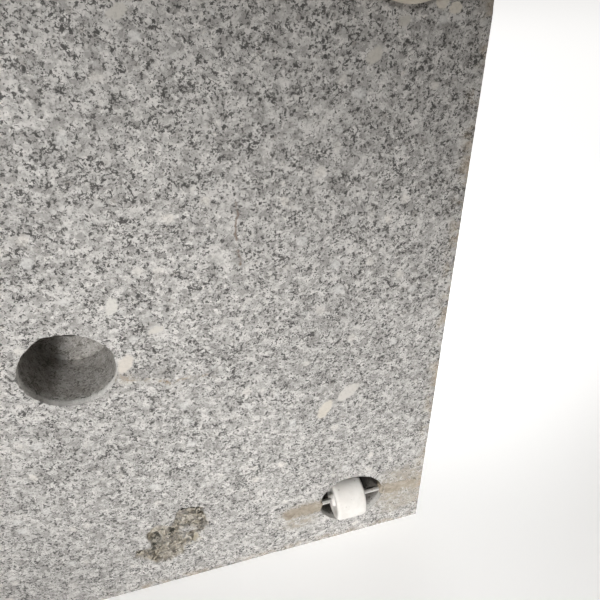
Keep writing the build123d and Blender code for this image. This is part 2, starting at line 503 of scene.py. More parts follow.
def mortar_bed(word, place, side):
    """Mortar trowelled into the groove: a lumpy top that feathers out over the stone."""
    lo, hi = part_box(f"mortar_{word}_{place}")
    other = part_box(f"mortar_{word}_{'inner' if place == 'outer' else 'outer'}")
    cx = (min(lo.x, other[0].x) + max(hi.x, other[1].x)) / 2
    cz = (lo.z + hi.z) / 2
    seed = {"rightouter": 201, "rightinner": 211, "leftouter": 221, "leftinner": 231}[word + place]
    away = 1 if (lo.x + hi.x) / 2 > cx else -1
    far = hi.x if away > 0 else lo.x
    limit = HALF - 0.6 * MM
    step = 0.6 * MM
    gx = np.arange(lo.x - 4 * MM, hi.x + 4 * MM, step)
    gz = np.arange(lo.z - 4 * MM, hi.z + 4 * MM, step)
    A, B = np.meshgrid(gx, gz, indexing="ij")
    P = np.stack([A.ravel(), np.full(A.size, FACE), B.ravel()], 1)
    # the groove's own outline and the noisy flange round it
    hz = (hi.z - lo.z) / 2
    end = far - away * hz
    rect = np.hypot(np.clip(away * (P[:, 0] - end), 0, None), P[:, 2] - cz) - hz
    spread = 0.9 + 1.6 * fbm(P, 10 * MM, seed) + 0.7 * vnoise(P, 2.6 * MM, seed + 4)
    near_hole = np.clip(1 - np.abs(np.abs(P[:, 0] - cx) - CORE_R) / (14 * MM), 0, 1)
    spread = spread + 1.2 * near_hole * (0.4 + vnoise(P, 6 * MM, seed + 5))
    sd = np.clip(spread, 0.25, 3.4) * MM - rect
    rc = np.hypot(P[:, 0] - cx, P[:, 2] - cz)
    wall = rc - (CORE_R + (0.15 + 0.25 * vnoise(P, 3 * MM, seed + 6)) * MM)
    sd = np.minimum(sd, wall)
    sd = np.minimum(sd, limit - np.abs(P[:, 0]))
    keep = (sd > 0).reshape(A.shape)
    quad = keep[:-1, :-1] & keep[1:, :-1] & keep[1:, 1:] & keep[:-1, 1:]
    idx = np.arange(A.size).reshape(A.shape)
    Q = np.stack([idx[:-1, :-1], idx[1:, :-1], idx[1:, 1:], idx[:-1, 1:]], -1)[quad]
    used, inv = np.unique(Q, return_inverse=True)
    Q = inv.reshape(-1, 4)
    T, sdu, rect = P[used], sd[used], rect[used]

    # top: level with the stone over the groove, a thin feather outside
    t = np.clip(sdu / (1.4 * MM), 0, 1)
    film = (0.05 + 0.28 * t) * MM
    lump = 0.22 * fbm(T, 5 * MM, seed + 8) + 0.12 * vnoise(T, 1.3 * MM, seed + 9)
    groove = np.clip(-rect / (1.5 * MM), 0, 1)
    sag = groove * (0.35 + 0.5 * vnoise(T, 8 * MM, seed + 12)) * MM
    top = T.copy()
    top[:, 1] = FACE - film - lump * MM * (0.3 + 0.7 * t) + sag
    top[:, 1] = np.where(rect > 0, np.minimum(top[:, 1], FACE - 0.03 * MM), top[:, 1])
    bottom = T.copy()
    deep = hi.y
    bottom[:, 1] = np.where(rect < -0.2 * MM, deep - 0.05 * MM, FACE + 0.02 * MM)
    nv = len(T)
    V = np.concatenate([top, bottom])
    ragged = 1 - np.clip(sdu / (3.2 * MM), 0, 1)
    ragged = np.concatenate([ragged, ragged])
    edges = {}
    for q in Q:
        for a, b in zip(q, np.roll(q, -1)):
            edges[(a, b)] = edges.get((a, b), 0) + 1
    F = [tuple(q) for q in Q] + [tuple((q + nv)[::-1]) for q in Q]
    for (a, b) in edges:
        if (b, a) not in edges:
            F.append((b, a, a + nv, b + nv))
    ob = make(f"mortar_bed_{word}_{place}", V, F)
    at = ob.data.attributes.new("ragged", "FLOAT", "POINT")
    at.data.foreach_set("value", ragged.astype(np.float32))
    outward(ob)
    sm = ob.modifiers.new("s", "SMOOTH")
    sm.factor, sm.iterations = 0.5, 1
    sm.use_y = False
    apply_all(ob)
    sharp_by_angle(ob, 50)
    return ob


def crumb_collar(word, place, side):
    """Mortar that oozed into the pocket round the axle where it enters the wall."""
    lo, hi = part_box(f"mortar_{word}_{place}")
    a = centre("axle_" + word)
    cx = (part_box(f"mortar_{word}_inner")[0].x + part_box(f"mortar_{word}_outer")[1].x) / 2 if side > 0 else \
        (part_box(f"mortar_{word}_outer")[0].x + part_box(f"mortar_{word}_inner")[1].x) / 2
    away = 1 if (lo.x + hi.x) / 2 > cx else -1
    wall = cx + away * (CORE_R - 0.2 * MM)
    seed = 300 + len(word) * 3 + len(place)
    rings = [(1.8, -1.5), (2.8, -1.3), (3.9, -0.6), (4.9, 0.4), (5.5, 1.6)]
    n = 48
    th = np.arange(n) / n * 2 * math.pi
    V = []
    for k, (r, x) in enumerate(rings):
        base = np.stack([np.cos(th) * 5, np.full(n, k * 0.4), np.sin(th) * 5], 1) * MM
        rn = r * (1 + 0.22 * vnoise(base, 3 * MM, seed))
        depth_bias = 1.2 * np.clip(np.cos(th), 0, 1) * (r / 5.6)        # hangs deeper into the pocket
        low = np.clip(-np.sin(th), 0, 1) * 0.9 * (r / 5.6)
        y = rn * np.cos(th) + depth_bias
        z = rn * np.sin(th) - low
        y = np.maximum(y, -2.9)
        V.append(np.stack([wall + away * (x + 0.5 * vnoise(base, 2.2 * MM, seed + 1)) * MM, a.y + y * MM, a.z + z * MM], 1))
    V = np.concatenate(V)
    F = [(k * n + i, k * n + (i + 1) % n, (k + 1) * n + (i + 1) % n, (k + 1) * n + i)
         for k in range(len(rings) - 1) for i in range(n)]
    F += [tuple(range(n)), tuple(range((len(rings) - 1) * n, len(rings) * n))[::-1]]
    ob = make(f"mortar_collar_{word}_{place}", V, F)
    outward(ob)
    return ob


for side, word in SIDES:
    for place in ("outer", "inner"):
        o = mortar_bed(word, place, side)
        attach(o, "slab")
        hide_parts(f"mortar_{word}_{place}")
        mortar.append(o)
        o = crumb_collar(word, place, side)
        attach(o, "slab")
        mortar.append(o)

for side, word in SIDES:
    lo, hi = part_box("glide_pad_" + word)
    at = (lo + hi) / 2
    r, h = (hi.x - lo.x) / 2, (hi.y - lo.y) / 2
    # profile from the glued foot to the worn, slightly dished running face; the X axis of the lathe is turned to Y
    prof = [(h, 0.0001 * r), (h, r * 0.5), (h, r - 1.6 * MM), (h - 0.2 * MM, r - 1.1 * MM), (h - 0.9 * MM, r - 0.9 * MM),
            (h - 1.6 * MM, r - 0.75 * MM), (-h + 3.4 * MM, r - 0.25 * MM), (-h + 2.6 * MM, r - 0.02 * MM)]
    prof += arc(-h + 1.6 * MM, r - 1.6 * MM, 1.6 * MM, 90, 180, 9)
    prof += [(-h, r - 2.4 * MM), (-h + 0.05 * MM, r - 3.2 * MM), (-h + 0.18 * MM, r - 3.6 * MM), (-h + 0.22 * MM, r - 4.2 * MM),
             (-h + 0.12 * MM, r * 0.55), (-h + 0.08 * MM, r * 0.3), (-h + 0.08 * MM, 0.0001 * r)]
    o = lathe("glide_pad_disc_" + word, prof, (0, 0, 0), 120, False)
    co = np.zeros(len(o.data.vertices) * 3)
    o.data.vertices.foreach_get("co", co)
    co = co.reshape(-1, 3)
    new = np.stack([co[:, 1], co[:, 0], co[:, 2]], 1) + np.array(at)
    o.data.vertices.foreach_set("co", new.ravel())
    o.data.update()
    outward(o)
    pads.append(o)
    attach(o, "slab")
    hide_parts("glide_pad_" + word)

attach(slab, "slab")
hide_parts("granite_slab")


# ------------------------------------------------------------ materials
class Net:
    """Short names for building a node tree."""

    def __init__(self, name):
        self.m = bpy.data.materials.new(name)
        self.m.use_nodes = True
        self.t = self.m.node_tree
        self.t.nodes.clear()
        self.out = self.t.nodes.new("ShaderNodeOutputMaterial")
        self.bsdf = self.t.nodes.new("ShaderNodeBsdfPrincipled")
        self.t.links.new(self.bsdf.outputs[0], self.out.inputs["Surface"])
        tc = self.t.nodes.new("ShaderNodeTexCoord")
        self.p = tc.outputs["Object"]
        self.geo = self.t.nodes.new("ShaderNodeNewGeometry")

    def put(self, sock, v):
        if isinstance(v, bpy.types.NodeSocket):
            self.t.links.new(v, sock)
        elif isinstance(v, (tuple, list)) and sock.type == "RGBA" and len(v) == 3:
            sock.default_value = (*v, 1)
        else:
            sock.default_value = v

    def math(self, op, a, b=0.0, c=None, clamp=False):
        n = self.t.nodes.new("ShaderNodeMath")
        n.operation, n.use_clamp = op, clamp
        self.put(n.inputs[0], a)
        self.put(n.inputs[1], b)
        if c is not None:
            self.put(n.inputs[2], c)
        return n.outputs[0]

    def add(self, a, b): return self.math("ADD", a, b)
    def sub(self, a, b): return self.math("SUBTRACT", a, b)
    def mul(self, a, b): return self.math("MULTIPLY", a, b)

    def vec(self, op, a, b=None, scale=None):
        n = self.t.nodes.new("ShaderNodeVectorMath")
        n.operation = op
        self.put(n.inputs[0], a)
        if b is not None:
            self.put(n.inputs[1], b)
        if scale is not None:
            self.put(n.inputs["Scale"], scale)
        return n.outputs["Value"] if op in ("LENGTH", "DISTANCE", "DOT_PRODUCT") else n.outputs[0]

    def sep(self, v):
        n = self.t.nodes.new("ShaderNodeSeparateXYZ")
        self.put(n.inputs[0], v)
        return n.outputs[0], n.outputs[1], n.outputs[2]

    def comb(self, x, y, z):
        n = self.t.nodes.new("ShaderNodeCombineXYZ")
        for s, v in zip(n.inputs, (x, y, z)):
            self.put(s, v)
        return n.outputs[0]

    def noise(self, p, scale, detail=2.0, rough=0.5, color=False, dist=0.0):
        n = self.t.nodes.new("ShaderNodeTexNoise")
        self.put(n.inputs["Vector"], p)
        n.inputs["Scale"].default_value = scale
        n.inputs["Detail"].default_value = detail
        n.inputs["Roughness"].default_value = rough
        n.inputs["Distortion"].default_value = dist
        return n.outputs["Color" if color else "Fac"]

    def voronoi(self, p, scale, feature="F1", rnd=1.0):
        n = self.t.nodes.new("ShaderNodeTexVoronoi")
        n.feature = feature
        self.put(n.inputs["Vector"], p)
        n.inputs["Scale"].default_value = scale
        n.inputs["Randomness"].default_value = rnd
        if feature == "DISTANCE_TO_EDGE":
            return n.outputs["Distance"], None
        c = self.t.nodes.new("ShaderNodeSeparateColor")
        self.t.links.new(n.outputs["Color"], c.inputs[0])
        return n.outputs["Distance"], (c.outputs[0], c.outputs[1], c.outputs[2])

    def ramp(self, v, stops, interp="LINEAR"):
        n = self.t.nodes.new("ShaderNodeValToRGB")
        self.put(n.inputs[0], v)
        n.color_ramp.interpolation = interp
        e = n.color_ramp.elements
        while len(e) > 1:
            e.remove(e[-1])
        for k, (pos, col) in enumerate(stops):
            col = (col, col, col) if isinstance(col, (int, float)) else col
            el = e[0] if k == 0 else e.new(pos)
            el.position = pos
            el.color = (*col, 1)
        return n.outputs[0]

    def range(self, v, a, b, c=0.0, d=1.0, smooth=True):
        n = self.t.nodes.new("ShaderNodeMapRange")
        n.interpolation_type = "SMOOTHSTEP" if smooth else "LINEAR"
        n.clamp = True
        self.put(n.inputs["Value"], v)
        for k, x in (("From Min", a), ("From Max", b), ("To Min", c), ("To Max", d)):
            self.put(n.inputs[k], x)
        return n.outputs[0]

    def mix(self, f, a, b, mode="MIX"):
        n = self.t.nodes.new("ShaderNodeMix")
        n.data_type, n.blend_type, n.clamp_factor = "RGBA", mode, True
        self.put(n.inputs[0], f)
        self.put(n.inputs[6], a)
        self.put(n.inputs[7], b)
        return n.outputs[2]

    def attr(self, name):
        n = self.t.nodes.new("ShaderNodeAttribute")
        n.attribute_name = name
        return n.outputs["Fac"]

    def bump(self, h, strength, dist, normal=None):
        n = self.t.nodes.new("ShaderNodeBump")
        n.inputs["Strength"].default_value = strength
        n.inputs["Distance"].default_value = dist
        self.put(n.inputs["Height"], h)
        if normal is not None:
            self.put(n.inputs["Normal"], normal)
        return n.outputs[0]

    def set(self, **kw):
        for k, v in kw.items():
            self.put(self.bsdf.inputs[k.replace("_", " ")], v)
        return self.m


def segment_mask(N, xz, a, b, width, soft):
    """1 near the line a-b on the roller face (mm), 0 away from it."""
    x, z = xz
    ax, az, bx, bz = a[0] * MM, a[1] * MM, b[0] * MM, b[1] * MM
    dx, dz = bx - ax, bz - az
    L2 = dx * dx + dz * dz
    t = N.math("DIVIDE", N.add(N.mul(N.sub(x, ax), dx), N.mul(N.sub(z, az), dz)), L2, clamp=True)
    ex = N.sub(N.sub(x, ax), N.mul(t, dx))
    ez = N.sub(N.sub(z, az), N.mul(t, dz))
    d = N.math("SQRT", N.add(N.mul(ex, ex), N.mul(ez, ez)))
    return N.range(d, width * MM, (width + soft) * MM, 1.0, 0.0)


def ellipse_mask(N, xz, c, r, angle, soft=0.25):
    """1 inside an ellipse on the roller face (mm, degrees)."""
    x, z = xz
    ca, sa = math.cos(math.radians(angle)), math.sin(math.radians(angle))
    ux, uz = N.sub(x, c[0] * MM), N.sub(z, c[1] * MM)
    u = N.math("DIVIDE", N.add(N.mul(ux, ca), N.mul(uz, sa)), r[0] * MM)
    v = N.math("DIVIDE", N.sub(N.mul(uz, ca), N.mul(ux, sa)), r[1] * MM)
    d = N.math("SQRT", N.add(N.mul(u, u), N.mul(v, v)))
    return N.range(d, 1 - soft, 1 + soft, 1.0, 0.0)


TONE = 0.89


def granite():
    N = Net("grey_granite")
    P = N.p
    wob = N.vec("SUBTRACT", N.noise(P, 420, 2, 0.6, True), (0.5, 0.5, 0.5))
    Pw = N.vec("ADD", P, N.vec("SCALE", wob, scale=0.0022))
    wob2 = N.vec("SUBTRACT", N.noise(P, 900, 2, 0.6, True), (0.5, 0.5, 0.5))
    Pf = N.vec("ADD", P, N.vec("SCALE", wob2, scale=0.0013))

    # feldspar and quartz mosaic
    _, c1 = N.voronoi(Pw, 400)
    _, c2 = N.voronoi(Pf, 1050)
    mosaic = N.ramp(c1[0], [(0.0, (0.326, 0.315, 0.300)), (0.3, (0.415, 0.402, 0.385)), (0.6, (0.515, 0.500, 0.480)),
                            (1.0, (0.640, 0.620, 0.595))])
    fine = N.range(c2[1], 0, 1, 0.80, 1.16, False)
    col = N.mix(1.0, mosaic, N.comb(fine, fine, fine), "MULTIPLY")
    veil = N.noise(Pw, 150, 3, 0.6)
    col = N.mix(N.range(veil, 0.53, 0.66, 0, 0.66), col, (0.655, 0.634, 0.610))
    col = N.mix(N.range(veil, 0.47, 0.36, 0, 0.5), col, (0.302, 0.292, 0.276))

    # feldspar crystals of three or four millimetres, some whiter, some creamier, some grey
    wobm = N.vec("SUBTRACT", N.noise(P, 340, 3, 0.62, True), (0.5, 0.5, 0.5))
    dM, cM = N.voronoi(N.vec("ADD", P, N.vec("SCALE", wobm, scale=0.0040)), 235)
    mid = N.mul(N.math("GREATER_THAN", cM[0], 0.70), N.range(dM, 0.24, 0.44, 1.0, 0.0))
    col = N.mix(N.mul(mid, 0.62), col, N.mix(cM[1], (0.62, 0.615, 0.60), (0.665, 0.625, 0.57)))
    dull = N.mul(N.math("LESS_THAN", cM[0], 0.16), N.range(dM, 0.24, 0.46, 1.0, 0.0))
    col = N.mix(N.mul(dull, 0.50), col, N.mix(cM[2], (0.29, 0.285, 0.275), (0.33, 0.305, 0.275)))

    # biotite: ragged flakes about a millimetre across, strung together in loose clots
    cl = N.noise(P, 62, 3, 0.62)
    cl2 = N.noise(N.vec("ADD", P, (0.21, 0.47, 0.09)), 190, 2, 0.55)
    lean = N.add(N.mul(N.sub(cl, 0.5), 0.17), N.mul(N.sub(cl2, 0.5), 0.26))
    f1 = N.add(N.noise(Pw, 620, 2, 0.62), lean)
    f2 = N.add(N.noise(N.vec("ADD", Pf, (0.37, 0.11, 0.29)), 1050, 2, 0.6), lean)
    flake = N.range(f1, 0.548, 0.632)
    flake2 = N.mul(N.range(f2, 0.562, 0.650), 0.88)
    fl = N.math("MAXIMUM", flake, flake2)
    flake_col = N.mix(N.range(cl2, 0.40, 0.60), (0.080, 0.076, 0.070), (0.036, 0.035, 0.032))
    col = N.mix(N.mul(fl, 0.93), col, flake_col)

    # larger feldspar crystals, whitish to cream
    wob3 = N.vec("SUBTRACT", N.noise(P, 210, 3, 0.6, True), (0.5, 0.5, 0.5))
    Pl = N.vec("ADD", P, N.vec("SCALE", wob3, scale=0.0038))
    dL, cL = N.voronoi(Pl, 105)
    big = N.mul(N.math("GREATER_THAN", cL[0], 0.84), N.range(dL, 0.20, 0.40, 1.0, 0.0))
    big_col = N.mix(cL[1], (0.66, 0.655, 0.64), (0.70, 0.665, 0.62))
    col = N.mix(N.mul(big, N.range(N.noise(P, 480, 3, 0.66), 0.36, 0.60, 0.80, 0.44)), col, big_col)

    # position on the roller face, in its own plane
    x, y, z = N.sep(P)
    wx, _, wz = N.sep(N.vec("SUBTRACT", N.noise(P, 300, 3, 0.6, True), (0.5, 0.5, 0.5)))
    xz = (N.add(x, N.mul(wx, 0.004)), N.add(z, N.mul(wz, 0.004)))
    wx2, _, wz2 = N.sep(N.vec("SUBTRACT", N.noise(N.vec("ADD", P, (0.13, 0.31, 0.71)), 130, 4, 0.66, True), (0.5, 0.5, 0.5)))
    xz2 = (N.add(x, N.mul(wx2, 0.011)), N.add(z, N.mul(wz2, 0.011)))
    on_face = N.range(y, FACE + 3.0 * MM, FACE + 5.0 * MM, 1.0, 0.0)

    crystals = [((144.9, 151.3), (8.4, 3.9), 62, (0.67, 0.62, 0.545)), ((160.6, 162.3), (9.0, 4.6), 42, (0.63, 0.60, 0.56)),
                ((29.5, 222.5), (6.6, 3.9), 58, (0.66, 0.61, 0.55)), ((49.5, 241.8), (4.6, 2.2), 10, (0.62, 0.59, 0.54)),
                ((181.0, 385.6), (3.0, 2.2), 30, (0.50, 0.475, 0.43)), ((30.0, 262.0), (6.0, 3.0), 70, (0.64, 0.62, 0.58)),
                ((198.8, 391.5), (2.8, 3.2), 20, (0.70, 0.65, 0.57)), ((206.0, 388.8), (3.0, 2.6), -10, (0.70, 0.65, 0.57)),
                ((168.0, 372.0), (4.4, 3.0), 40, (0.56, 0.53, 0.48)), ((60.0, 398.0), (4.6, 2.6), 20, (0.57, 0.545, 0.50))]
    mottle = N.range(N.noise(P, 520, 3, 0.66), 0.36, 0.58, 0.95, 0.80)
    for c, r, ang, shade in crystals:
        m = N.mul(ellipse_mask(N, xz, c, r, ang, 0.16), on_face)
        col = N.mix(N.mul(m, mottle), col, shade)

    # slow drift of tone over the block
    drift = N.noise(P, 9, 3, 0.55)
    d = N.range(drift, 0.3, 0.7, 0.93 * TONE, 1.06 * TONE, False)
    band = N.noise(N.vec("MULTIPLY", P, (1.0, 1.0, 0.16)), 26, 2, 0.5)
    d = N.mul(d, N.range(band, 0.35, 0.65, 0.95, 1.04, False))
    col = N.mix(1.0, col, N.comb(d, d, d), "MULTIPLY")

    # brown healed cracks
    crack = None
    path = [(20.0, 213.0), (28.2, 211.4), (38.1, 207.3), (51.8, 202.6), (60.0, 203.2), (71.5, 202.2)]
    for a, b in zip(path, path[1:]):
        m = segment_mask(N, xz2, a, b, 0.1, 2.0)
        crack = m if crack is None else N.math("MAXIMUM", crack, m)
    crack = N.mul(crack, N.range(N.noise(P, 240, 3, 0.65), 0.42, 0.62, 0.05, 0.75))
    col = N.mix(N.mul(crack, on_face), col, (0.335, 0.275, 0.200))
    core = N.mul(segment_mask(N, xz2, (47.0, 203.6), (60.5, 203.2), 0.2, 1.0), on_face)
    core = N.mul(core, N.range(N.noise(P, 300, 2, 0.6), 0.40, 0.58, 0.1, 0.85))
    col = N.mix(core, col, (0.235, 0.165, 0.100))
    stain = N.mul(ellipse_mask(N, xz2, (27.5, 212.0), (7.0, 3.2), -14, 0.5), on_face)
    stain = N.mul(stain, N.range(N.noise(P, 280, 3, 0.65), 0.42, 0.60, 0.0, 0.6))
    col = N.mix(stain, col, (0.33, 0.28, 0.22))
    line = None
    for a, b in zip([(99.4, 310.0), (98.2, 299.3), (97.8, 283.0)], [(98.2, 299.3), (97.8, 289.0), (97.6, 274.0)]):
        m = segment_mask(N, (N.add(x, N.mul(wx2, 0.0065)), z), a, b, 0.12, 0.85)
        line = m if line is None else N.math("MAXIMUM", line, m)
    line = N.mul(line, N.range(N.noise(P, 300, 3, 0.62), 0.38, 0.52, 0.25, 0.88))
    col = N.mix(N.mul(line, on_face), col, (0.165, 0.120, 0.090))

    # mortar film wiped over the stone beside the axle beds
    film_n = N.noise(P, 190, 4, 0.68)
    film2 = N.noise(P, 60, 2, 0.5)
    film = None
    for c, r, ang, k in (((206.0, 42.0), (23.0, 20.0), 0, 1.0), ((209.0, 57.0), (17.0, 12.0), -20, 0.85),
                         ((208.0, 25.0), (17.0, 10.0), 20, 0.8), ((124.0, 32.5), (13.5, 6.5), 4, 1.0),
                         ((127.0, 46.0), (17.0, 9.0), 5, 0.85),
                         ((-207.0, 41.0), (20.0, 15.0), 0, 0.8), ((-126.0, 55.0), (17.0, 8.0), -8, 0.8),
                         ((-140.0, 36.0), (9.0, 9.0), 0, 0.5)):
        m = N.mul(ellipse_mask(N, xz, c, r, ang, 0.42), k)
        film = m if film is None else N.math("MAXIMUM", film, m)
    film = N.mul(film, N.range(film_n, 0.38, 0.58, 0.22, 0.96))
    film = N.mul(film, on_face)
    film_col = N.mix(film2, (0.275, 0.240, 0.190), (0.365, 0.330, 0.280))
    col = N.mix(N.mul(film, 0.88), col, film_col)

    # rust-brown film towards the edges, and dirt in the arrises
    wear = N.attr("wear")
    ex = N.sub(HALF, N.math("ABSOLUTE", x))
    ez = N.math("MINIMUM", z, N.sub(SIDE, z))
    edge = N.math("MINIMUM", ex, ez)
    edge_m = N.mul(N.range(edge, 0.0, 0.010, 1.0, 0.0), N.range(N.noise(P, 70, 4, 0.7), 0.45, 0.62, 0.0, 0.6))
    col = N.mix(N.mul(edge_m, on_face), col, (0.36, 0.29, 0.205))
    col = N.mix(N.mul(wear, 0.45), col, (0.23, 0.19, 0.15))
    stained = N.mul(N.mul(wear, N.range(ex, 0.4 * MM, 1.1 * MM, 1.0, 0.0)), N.range(N.noise(P, 75, 3, 0.6), 0.34, 0.52, 0.35, 0.9))
    col = N.mix(stained, col, (0.105, 0.078, 0.055))

    # dust and painted shade on the drilled walls: brown, darkening with depth, near black in the roller pockets
    deep = N.range(y, FACE + 1.0 * MM, FACE + 9.0 * MM)
    inside_hole = None
    for cx, cz, rad in ((centre("axle_right").x, centre("axle_right").z, 25.6), (centre("axle_left").x, centre("axle_left").z, 25.6),
                        (0.0, SIDE / 2, 25.6)):
        dd = N.vec("DISTANCE", N.comb(x, 0.0, z), (cx, 0.0, cz))
        m = N.range(dd, rad * MM, (rad + 0.4) * MM, 1.0, 0.0, False)
        inside_hole = m if inside_hole is None else N.math("MAXIMUM", inside_hole, m)
    not_back = N.range(y, BACK - 2 * MM, BACK - 1 * MM, 1.0, 0.0, False)
    hole = N.mul(N.mul(deep, inside_hole), not_back)
    side_pocket = N.range(z, 0.14, 0.16, 1.0, 0.0, False)
    # strength of the painted shade and dust, stronger in the roller pockets
    dust_and_painted_shade = N.add(0.50, N.mul(side_pocket, 0.30))
    col = N.mix(N.mul(hole, dust_and_painted_shade), col, N.mix(side_pocket, (0.15, 0.135, 0.115), (0.070, 0.060, 0.047)))
    rim = N.mul(N.mul(inside_hole, on_face), N.range(y, FACE + 0.15 * MM, FACE + 0.5 * MM))
    col = N.mix(N.mul(rim, 0.55), col, (0.72, 0.71, 0.68))

    # the scar: freshly broken crystals stained brown, with painted shade in its deeper pits and a painted shadow slit
    # under its upper edge
    scar = N.attr("scar")
    sn = N.noise(P, 430, 4, 0.75)
    ds, cs = N.voronoi(Pw, 420)
    sn = N.add(N.mul(sn, 0.66), N.mul(cs[0], 0.34))
    scar_col = N.ramp(sn, [(0.30, (0.020, 0.017, 0.010)), (0.40, (0.085, 0.070, 0.046)), (0.50, (0.195, 0.165, 0.120)),
                           (0.60, (0.315, 0.280, 0.215)), (0.72, (0.52, 0.485, 0.415))])
    col = N.mix(N.mul(scar, N.range(N.noise(P, 130, 3, 0.6), 0.3, 0.64, 0.98, 0.62)), col, scar_col)
    # painted shade: the deeper pits of the scar darkened to near black
    pit_shade = N.mul(N.attr("pit_shade"), N.range(sn, 0.58, 0.44, 0.10, 0.85))
    col = N.mix(pit_shade, col, (0.022, 0.021, 0.015))
    # painted shadow: a near-black slit along the overhanging upper edge of the scar
    scar_slit_shadow = N.mul(segment_mask(N, (N.add(x, N.mul(wx2, 0.002)), N.add(z, N.mul(wz2, 0.003))), (41.0, 81.6), (49.2, 79.6), 0.75, 0.5), on_face)
    col = N.mix(scar_slit_shadow, col, (0.010, 0.009, 0.007))
    # painted shade in three of the deeper pits
    for c, r, ang, k in (((33.6, 68.6), (2.4, 3.4), 20, 0.62), ((18.4, 55.0), (3.0, 5.0), 10, 0.5), ((16.6, 47.0), (4.6, 3.4), 20, 0.5)):
        m = N.mul(N.mul(ellipse_mask(N, xz2, c, r, ang, 0.4), on_face), N.range(sn, 0.60, 0.42, 0.2, k))
        col = N.mix(m, col, (0.030, 0.032, 0.026))
    gold = N.mul(N.mul(ellipse_mask(N, xz2, (45.5, 45.0), (8.5, 2.4), 20, 0.5), on_face), N.range(sn, 0.44, 0.58, 0.0, 0.45))
    col = N.mix(gold, col, (0.40, 0.355, 0.245))

    # finish: outer face polished, roller face and edges sawn
    nx, ny, nz = N.sep(N.geo.outputs["Normal"])
    polished = N.mul(N.range(y, BACK - 1.2 * MM, BACK - 0.5 * MM), 1.0)
    col = N.mix(N.mul(polished, 0.30), col, N.mix(1.0, col, (0.72, 0.73, 0.74), "MULTIPLY"))
    rough = N.range(c2[2], 0, 1, 0.56, 0.74, False)
    rough = N.add(rough, N.mul(fl, -0.10))
    rough = N.math("MAXIMUM", rough, N.mul(scar, 0.85))
    rough = N.add(N.mul(rough, N.sub(1.0, polished)), N.mul(polished, N.range(c2[2], 0, 1, 0.16, 0.30, False)))

    # relief: grain pits everywhere, saw waves on the edges
    grain = N.add(N.mul(c2[0], 0.5), N.mul(N.noise(P, 1300, 3, 0.6), 0.8))
    grain = N.add(grain, N.mul(c1[1], 0.35))
    saw = N.mul(N.noise(N.vec("MULTIPLY", P, (0.15, 3.0, 0.15)), 330, 2, 0.5), 0.9)
    sides_only = N.mul(N.sub(1.0, on_face), N.sub(1.0, polished))
    grain = N.add(N.mul(grain, N.sub(1.0, N.mul(polished, 0.97))), N.mul(saw, sides_only))
    nrm = N.bump(grain, 0.30, 0.00022)
    nrm = N.bump(N.mul(N.noise(P, 520, 4, 0.7), N.math("MAXIMUM", scar, N.mul(hole, 0.6))), 0.9, 0.0011, nrm)
    return N.set(Base_Color=col, Roughness=rough, Normal=nrm, Specular_IOR_Level=0.45)


def mortar_mat():
    N = Net("bedding_mortar")
    P = N.p
    a = N.noise(P, 240, 4, 0.65)
    col = N.ramp(a, [(0.28, (0.200, 0.168, 0.125)), (0.45, (0.290, 0.250, 0.198)), (0.58, (0.340, 0.300, 0.245)), (0.74, (0.41, 0.375, 0.32))])
    slow = N.noise(P, 50, 2, 0.5)
    col = N.mix(N.range(slow, 0.45, 0.68, 0, 0.45), col, (0.42, 0.385, 0.32))
    # sand grains
    d, c = N.voronoi(P, 1150)
    g = N.mul(N.math("GREATER_THAN", c[0], 0.80), N.range(d, 0.25, 0.5, 1, 0))
    col = N.mix(N.mul(g, 0.7), col, N.mix(c[1], (0.13, 0.11, 0.09), (0.60, 0.57, 0.50)))
    # dark smears, and stone showing through where the mortar thins out
    smear = N.noise(N.vec("MULTIPLY", P, (0.45, 1.0, 1.0)), 150, 4, 0.66)
    col = N.mix(N.range(smear, 0.54, 0.66, 0, 0.55), col, (0.215, 0.178, 0.135))
    col = N.mix(N.range(smear, 0.44, 0.34, 0, 0.5), col, (0.47, 0.435, 0.375))
    bare = N.mul(N.attr("ragged"), N.range(N.noise(P, 330, 3, 0.7), 0.44, 0.60, 0.0, 0.95))
    speck = N.noise(P, 620, 2, 0.6)
    col = N.mix(bare, col, N.ramp(speck, [(0.40, (0.09, 0.088, 0.082)), (0.47, (0.34, 0.33, 0.315)), (0.60, (0.55, 0.535, 0.51))]))
    x, y, z = N.sep(P)
    # dirt and painted shade in the mouth of the pocket, stronger deeper in
    deep = N.range(y, FACE + 0.4 * MM, FACE + 3 * MM)
    col = N.mix(N.mul(deep, 0.4), col, (0.30, 0.215, 0.13))
    h = N.add(N.mul(N.noise(P, 620, 5, 0.72), 1.0), N.mul(g, 0.35))
    return N.set(Base_Color=col, Roughness=N.range(a, 0.3, 0.7, 0.82, 0.96, False), Normal=N.bump(h, 0.75, 0.0006),
                 Specular_IOR_Level=0.25)


